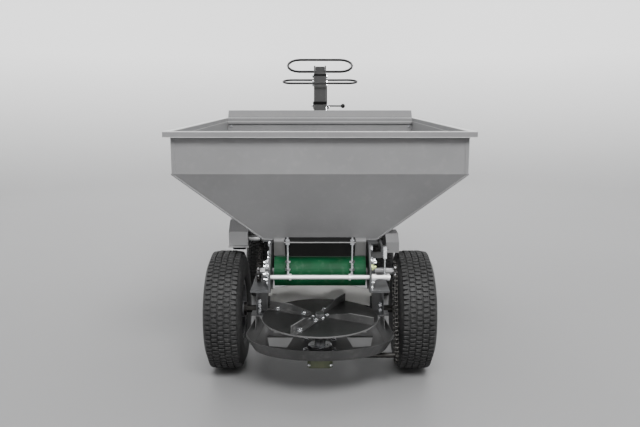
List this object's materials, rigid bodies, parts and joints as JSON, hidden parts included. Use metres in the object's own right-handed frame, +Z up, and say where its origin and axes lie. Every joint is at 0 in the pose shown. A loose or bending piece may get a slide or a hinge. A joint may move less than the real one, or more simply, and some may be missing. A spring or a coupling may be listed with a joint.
{
  "type": "lawn topdresser",
  "caption": "Towed lawn topdresser: funnel hopper over a belt floor, lifting gate, vaned spinner disc, turf tyres, steered front axle and drawbar with loop handle.",
  "frame": {"origin": "on the ground under the middle of the whole machine", "axes": "+X to the right seen from the spinner end, +Y forward towards the drawbar, +Z up"},
  "size_m": [0.9, 1.7203, 1.0693],
  "materials": {
    "hopper_paint": "light grey powder coat",
    "shield_paint": "light warm grey sheet",
    "tyre": "black rubber, brick tread",
    "rim_paint": "grey painted steel wheel",
    "belt": "green belt",
    "rubber": "black rubber",
    "knob": "black ball",
    "black_paint": "black coated bar",
    "zinc": "zinc plated",
    "steel": "bare turned steel",
    "housing": "yellow green painted casting",
    "frame_paint": "dark grey powder coat"
  },
  "bodies": {
    "machine_frame": {"hopper": "hopper_paint", "front_apron": "hopper_paint", "side_plate_left": "frame_paint", "side_plate_right": "frame_paint", "cross_member": "frame_paint", "kingpin_plate": "frame_paint", "belt_bed": "frame_paint", "conveyor_belt": "belt", "rear_roller_bearing_left": "housing", "rear_roller_bearing_right": "housing", "rear_axle": "steel", "axle_bracket_left": "frame_paint", "axle_bracket_right": "frame_paint", "drive_cover_left": "hopper_paint", "drive_cover_right": "hopper_paint", "mudguard_left": "frame_paint", "conveyor_chain": "steel", "spinner_chain": "steel", "spinner_shield": "shield_paint", "guard_pan": "frame_paint", "spinner_leg_left": "frame_paint", "spinner_leg_right": "frame_paint", "gear_housing": "housing", "spinner_bearing": "zinc", "hopper_strut_left": "frame_paint", "hopper_strut_right": "frame_paint"},
    "rear_roller_body": {"rear_roller": "steel"},
    "front_roller_body": {"front_roller": "steel"},
    "gate": {"gate_leaf": "frame_paint", "gate_rod_left": "zinc", "gate_rod_right": "zinc"},
    "gate_shaft": {"gate_cross_shaft": "zinc"},
    "gate_lever": {"gate_arm": "frame_paint", "gate_lever_grip": "rubber"},
    "gate_link": {"gate_link_rod": "zinc"},
    "rear_wheel_left": {"rear_tyre_left": "tyre", "rear_rim_left": "rim_paint"},
    "rear_wheel_right": {"rear_tyre_right": "tyre", "rear_rim_right": "rim_paint"},
    "drive": {"drive_shaft": "steel", "friction_roller": "rubber"},
    "spinner": {"spinner_disc": "frame_paint", "spinner_vane_1": "frame_paint", "spinner_vane_2": "frame_paint", "spinner_vane_3": "frame_paint", "spinner_vane_4": "frame_paint", "spinner_shaft": "zinc"},
    "spinner_input": {"spinner_input_shaft": "steel"},
    "steering": {"front_axle": "frame_paint"},
    "front_wheel_left": {"front_tyre_left": "tyre", "front_rim_left": "rim_paint"},
    "front_wheel_right": {"front_tyre_right": "tyre", "front_rim_right": "rim_paint"},
    "drawbar": {"drawbar_post": "frame_paint", "lever_bracket": "zinc", "control_cable": "rubber", "loop_handle": "black_paint"},
    "bail": {"bail_loop": "black_paint"},
    "control_lever": {"drive_lever": "zinc", "lever_knob": "knob"}
  },
  "joints": [
    {"name": "spinner_spin", "type": "hinge", "parent": "machine_frame", "child": "spinner", "pos_m": [0, -0.6861, 0.229], "axis": [0, 0, 1], "continuous": true},
    {"name": "rear_roller_spin", "type": "hinge", "parent": "machine_frame", "child": "rear_roller_body", "pos_m": [0, -0.6011, 0.347], "axis": [1, 0, 0], "continuous": true},
    {"name": "front_roller_spin", "type": "hinge", "parent": "machine_frame", "child": "front_roller_body", "pos_m": [0, 0.0989, 0.347], "axis": [1, 0, 0], "continuous": true},
    {"name": "drive_spin", "type": "hinge", "parent": "machine_frame", "child": "drive", "pos_m": [-0.24, -0.4411, 0.417], "axis": [1, 0, 0], "continuous": true},
    {"name": "spinner_input_spin", "type": "hinge", "parent": "machine_frame", "child": "spinner_input", "pos_m": [0.1, -0.6861, 0.105], "axis": [1, 0, 0], "continuous": true},
    {"name": "rear_wheel_left_spin", "type": "hinge", "parent": "machine_frame", "child": "rear_wheel_left", "pos_m": [-0.301, -0.5011, 0.192], "axis": [1, 0, 0], "continuous": true},
    {"name": "rear_wheel_right_spin", "type": "hinge", "parent": "machine_frame", "child": "rear_wheel_right", "pos_m": [0.301, -0.5011, 0.192], "axis": [1, 0, 0], "continuous": true},
    {"name": "gate_lever_turn", "type": "hinge", "parent": "machine_frame", "child": "gate_lever", "pos_m": [0.187, -0.5611, 0.428], "axis": [-1, 0, 0], "range_deg": [0, 17.32]},
    {"name": "gate_shaft_turn", "type": "hinge", "parent": "machine_frame", "child": "gate_shaft", "pos_m": [0, -0.6871, 0.351], "axis": [1, 0, 0], "range_deg": [0, 50]},
    {"name": "gate_slide", "type": "slide", "parent": "machine_frame", "child": "gate", "axis": [0, 0, 1], "range_m": [0, 0.02587]},
    {"name": "gate_link_turn", "type": "hinge", "parent": "gate_lever", "child": "gate_link", "pos_m": [0.1957, -0.65343, 0.428], "axis": [-1, 0, 0], "range_deg": [-17.32, 0]},
    {"name": "steer", "type": "hinge", "parent": "machine_frame", "child": "steering", "pos_m": [0, 0.2789, 0.15], "axis": [0, 0, 1], "range_deg": [-28, 28]},
    {"name": "front_wheel_left_spin", "type": "hinge", "parent": "steering", "child": "front_wheel_left", "pos_m": [-0.265, 0.2789, 0.15], "axis": [1, 0, 0], "continuous": true},
    {"name": "front_wheel_right_spin", "type": "hinge", "parent": "steering", "child": "front_wheel_right", "pos_m": [0.265, 0.2789, 0.15], "axis": [1, 0, 0], "continuous": true},
    {"name": "drawbar_fold", "type": "hinge", "parent": "steering", "child": "drawbar", "pos_m": [0, 0.4289, 0.198], "axis": [-1, 0, 0], "range_deg": [0, 66]},
    {"name": "bail_squeeze", "type": "hinge", "parent": "drawbar", "child": "bail", "pos_m": [0, 0.73683, 0.96015], "axis": [-1, 0, 0], "range_deg": [0, 24], "stiffness_Nm_per_rad": 1.5, "springref_deg": -14.32},
    {"name": "control_lever_turn", "type": "hinge", "parent": "drawbar", "child": "control_lever", "pos_m": [0.04, 0.68364, 0.82849], "axis": [1, 0, 0], "range_deg": [-30, 30]}
  ],
  "couplings": [
    {"joint": "rear_roller_spin", "follows": "spinner_spin", "ratio": 0.38461},
    {"joint": "front_roller_spin", "follows": "spinner_spin", "ratio": 0.38461},
    {"joint": "drive_spin", "follows": "spinner_spin", "ratio": 0.625},
    {"joint": "spinner_input_spin", "follows": "spinner_spin", "ratio": 0.5},
    {"joint": "gate_shaft_turn", "follows": "gate_lever_turn", "ratio": 2.8868},
    {"joint": "gate_slide", "follows": "gate_lever_turn", "m_per_rad": 0.085565},
    {"joint": "gate_link_turn", "follows": "gate_lever_turn", "ratio": -1}
  ]
}
